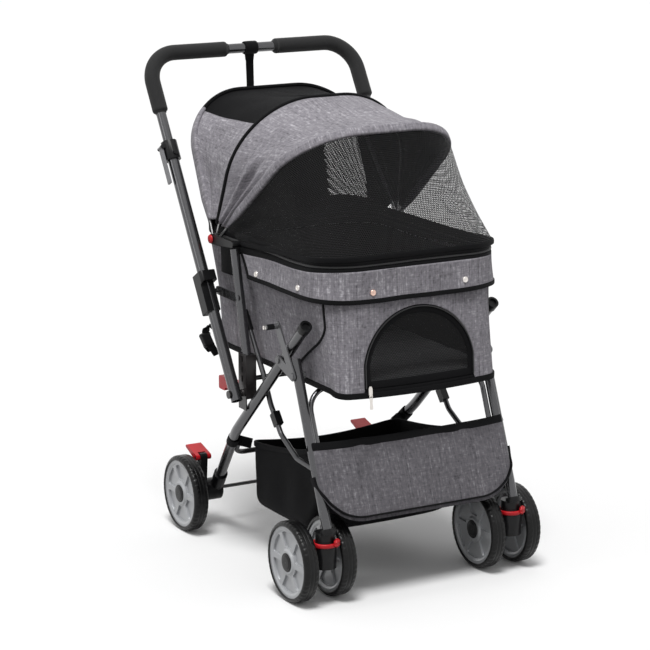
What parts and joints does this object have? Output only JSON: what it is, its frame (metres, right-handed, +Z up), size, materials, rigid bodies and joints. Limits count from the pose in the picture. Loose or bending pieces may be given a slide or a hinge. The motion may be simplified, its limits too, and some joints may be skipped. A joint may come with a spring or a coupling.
{
  "type": "pet stroller",
  "caption": "Folding pet stroller with a fabric cabin, hooped canopy with mesh window, reversible telescopic handle, twin-wheel casters and an underslung basket.",
  "frame": {"origin": "on the floor under the middle of the bounding box", "axes": "+Z up, -Y forward (towards the casters), +X to the stroller's left-hand side seen from the front"},
  "size_m": [0.505, 0.7, 0.94],
  "materials": {
    "frame_tube": "satin gunmetal",
    "plate_steel": "satin",
    "thin_tube": "satin",
    "axle_steel": "satin",
    "bow_rod": "satin",
    "black_plastic": "moulded",
    "lever_plastic": "moulded",
    "red_plastic": "moulded",
    "rim_plastic": "moulded",
    "tyre": "semi-gloss",
    "foam": "closed-cell foam",
    "webbing": "woven",
    "grey_fabric": "heather linen weave",
    "black_fabric": "woven",
    "mesh": "open mesh",
    "board": "plain",
    "mat_fabric": "padded"
  },
  "bodies": {
    "chassis": {"front_legs": "frame_tube", "leg_plates": "plate_steel", "caster_sockets": "black_plastic", "uprights": "frame_tube", "hinge_channels": "frame_tube", "brace_tube": "thin_tube", "brace_clips": "black_plastic", "front_bar": "thin_tube", "cross_bar": "thin_tube", "cabin_shell": "grey_fabric", "floor_board": "board", "floor_mat": "mat_fabric", "top_frame": "bow_rod", "rim_band": "black_fabric", "valance": "grey_fabric", "canopy_brackets": "plate_steel", "rear_bow": "bow_rod", "canopy_rear": "grey_fabric", "basket": "black_fabric", "basket_front": "grey_fabric"},
    "rear_frame": {"rear_legs": "frame_tube", "rear_leg_caps": "black_plastic", "rear_bar": "thin_tube", "rear_axle": "axle_steel", "wheel_brackets": "black_plastic"},
    "handle_lower": {"handle_tubes": "frame_tube", "clamp_collars": "black_plastic"},
    "handle_upper": {"handle_bar": "frame_tube", "grips": "foam", "handle_strap": "webbing"},
    "bow_mid": {"mid_bow": "bow_rod", "canopy_front": "grey_fabric"},
    "bow_front": {"front_bow": "bow_rod", "mesh_window": "mesh"},
    "door": {"door_panel": "mesh"},
    "wheel_front_left_outer": {"rim_front_left_outer": "rim_plastic", "tyre_front_left_outer": "tyre"},
    "wheel_front_left_inner": {"rim_front_left_inner": "rim_plastic", "tyre_front_left_inner": "tyre"},
    "wheel_front_right_inner": {"rim_front_right_inner": "rim_plastic", "tyre_front_right_inner": "tyre"},
    "wheel_front_right_outer": {"rim_front_right_outer": "rim_plastic", "tyre_front_right_outer": "tyre"},
    "wheel_rear_left": {"rim_rear_left": "rim_plastic", "tyre_rear_left": "tyre"},
    "wheel_rear_right": {"rim_rear_right": "rim_plastic", "tyre_rear_right": "tyre"},
    "caster_left": {"caster_fork_left": "black_plastic"},
    "swivel_lock_left": {"swivel_lock_left": "red_plastic"},
    "brake_pedal_left": {"brake_pedal_left": "red_plastic"},
    "fold_lever_left": {"fold_lever_left": "red_plastic"},
    "clamp_lever_left": {"clamp_lever_left": "lever_plastic"},
    "lock_sleeve_left": {"lock_sleeve_left": "black_plastic"},
    "caster_right": {"caster_fork_right": "black_plastic"},
    "swivel_lock_right": {"swivel_lock_right": "red_plastic"},
    "brake_pedal_right": {"brake_pedal_right": "red_plastic"},
    "fold_lever_right": {"fold_lever_right": "red_plastic"},
    "clamp_lever_right": {"clamp_lever_right": "lever_plastic"},
    "lock_sleeve_right": {"lock_sleeve_right": "black_plastic"}
  },
  "joints": [
    {"name": "frame_fold", "type": "hinge", "parent": "chassis", "child": "rear_frame", "pos_m": [0, -0.16991, 0.42299], "axis": [-1, 0, 0], "range_deg": [0, 38], "deforming": ["basket"]},
    {"name": "handle_reverse", "type": "hinge", "parent": "chassis", "child": "handle_lower", "pos_m": [0, -0.033, 0.33], "axis": [1, 0, 0], "range_deg": [0, 68]},
    {"name": "handle_slide", "type": "slide", "parent": "handle_lower", "child": "handle_upper", "axis": [0, 0.526, 0.8505], "range_m": [-0.055, 0]},
    {"name": "canopy_mid", "type": "hinge", "parent": "chassis", "child": "bow_mid", "pos_m": [0, 0.098, 0.6], "axis": [-1, 0, 0], "range_deg": [0, 38], "deforming": ["canopy_rear"]},
    {"name": "canopy_front", "type": "hinge", "parent": "bow_mid", "child": "bow_front", "pos_m": [0, 0.098, 0.6], "axis": [-1, 0, 0], "range_deg": [0, 26.6], "deforming": ["canopy_front"]},
    {"name": "door_hinge", "type": "hinge", "parent": "chassis", "child": "door", "pos_m": [0, -0.31973, 0.39434], "axis": [1, 0, 0], "range_deg": [0, 100]},
    {"name": "caster_swivel_left", "type": "hinge", "parent": "chassis", "child": "caster_left", "pos_m": [-0.1985, -0.322, 0.075], "axis": [0, 0, 1], "continuous": true},
    {"name": "swivel_lock_left", "type": "slide", "parent": "caster_left", "child": "swivel_lock_left", "axis": [0, 0, 1], "range_m": [0, 0.006]},
    {"name": "wheel_front_left_outer", "type": "hinge", "parent": "caster_left", "child": "wheel_front_left_outer", "pos_m": [-0.2375, -0.275, 0.075], "axis": [1, 0, 0], "continuous": true},
    {"name": "wheel_front_left_inner", "type": "hinge", "parent": "caster_left", "child": "wheel_front_left_inner", "pos_m": [-0.1595, -0.275, 0.075], "axis": [1, 0, 0], "continuous": true},
    {"name": "wheel_rear_left", "type": "hinge", "parent": "rear_frame", "child": "wheel_rear_left", "pos_m": [-0.221, 0.197, 0.075], "axis": [1, 0, 0], "continuous": true},
    {"name": "brake_pedal_left", "type": "hinge", "parent": "rear_frame", "child": "brake_pedal_left", "pos_m": [-0.188, 0.187, 0.146], "axis": [-1, 0, 0], "range_deg": [0, 20]},
    {"name": "fold_lever_left", "type": "hinge", "parent": "chassis", "child": "fold_lever_left", "pos_m": [-0.201, -0.006, 0.336], "axis": [-1, 0, 0], "range_deg": [0, 20], "stiffness_Nm_per_rad": 0.5, "springref_deg": -11.46},
    {"name": "clamp_lever_left", "type": "hinge", "parent": "handle_lower", "child": "clamp_lever_left", "pos_m": [-0.2475, 0.23158, 0.75779], "axis": [0, 0.8505, -0.526], "range_deg": [0, 100]},
    {"name": "lock_sleeve_left", "type": "slide", "parent": "handle_lower", "child": "lock_sleeve_left", "axis": [0, 0.526, 0.8505], "range_m": [0, 0.048]},
    {"name": "caster_swivel_right", "type": "hinge", "parent": "chassis", "child": "caster_right", "pos_m": [0.1985, -0.322, 0.075], "axis": [0, 0, 1], "continuous": true},
    {"name": "swivel_lock_right", "type": "slide", "parent": "caster_right", "child": "swivel_lock_right", "axis": [0, 0, 1], "range_m": [0, 0.006]},
    {"name": "wheel_front_right_outer", "type": "hinge", "parent": "caster_right", "child": "wheel_front_right_outer", "pos_m": [0.2375, -0.275, 0.075], "axis": [1, 0, 0], "continuous": true},
    {"name": "wheel_front_right_inner", "type": "hinge", "parent": "caster_right", "child": "wheel_front_right_inner", "pos_m": [0.1595, -0.275, 0.075], "axis": [1, 0, 0], "continuous": true},
    {"name": "wheel_rear_right", "type": "hinge", "parent": "rear_frame", "child": "wheel_rear_right", "pos_m": [0.221, 0.197, 0.075], "axis": [1, 0, 0], "continuous": true},
    {"name": "brake_pedal_right", "type": "hinge", "parent": "rear_frame", "child": "brake_pedal_right", "pos_m": [0.188, 0.187, 0.146], "axis": [-1, 0, 0], "range_deg": [0, 20]},
    {"name": "fold_lever_right", "type": "hinge", "parent": "chassis", "child": "fold_lever_right", "pos_m": [0.201, -0.006, 0.336], "axis": [-1, 0, 0], "range_deg": [0, 20], "stiffness_Nm_per_rad": 0.5, "springref_deg": -11.46},
    {"name": "clamp_lever_right", "type": "hinge", "parent": "handle_lower", "child": "clamp_lever_right", "pos_m": [0.2475, 0.23158, 0.75779], "axis": [0, -0.8505, 0.526], "range_deg": [0, 100]},
    {"name": "lock_sleeve_right", "type": "slide", "parent": "handle_lower", "child": "lock_sleeve_right", "axis": [0, 0.526, 0.8505], "range_m": [0, 0.048]}
  ],
  "couplings": [
    {"joint": "canopy_front", "follows": "canopy_mid", "ratio": 0.7}
  ]
}
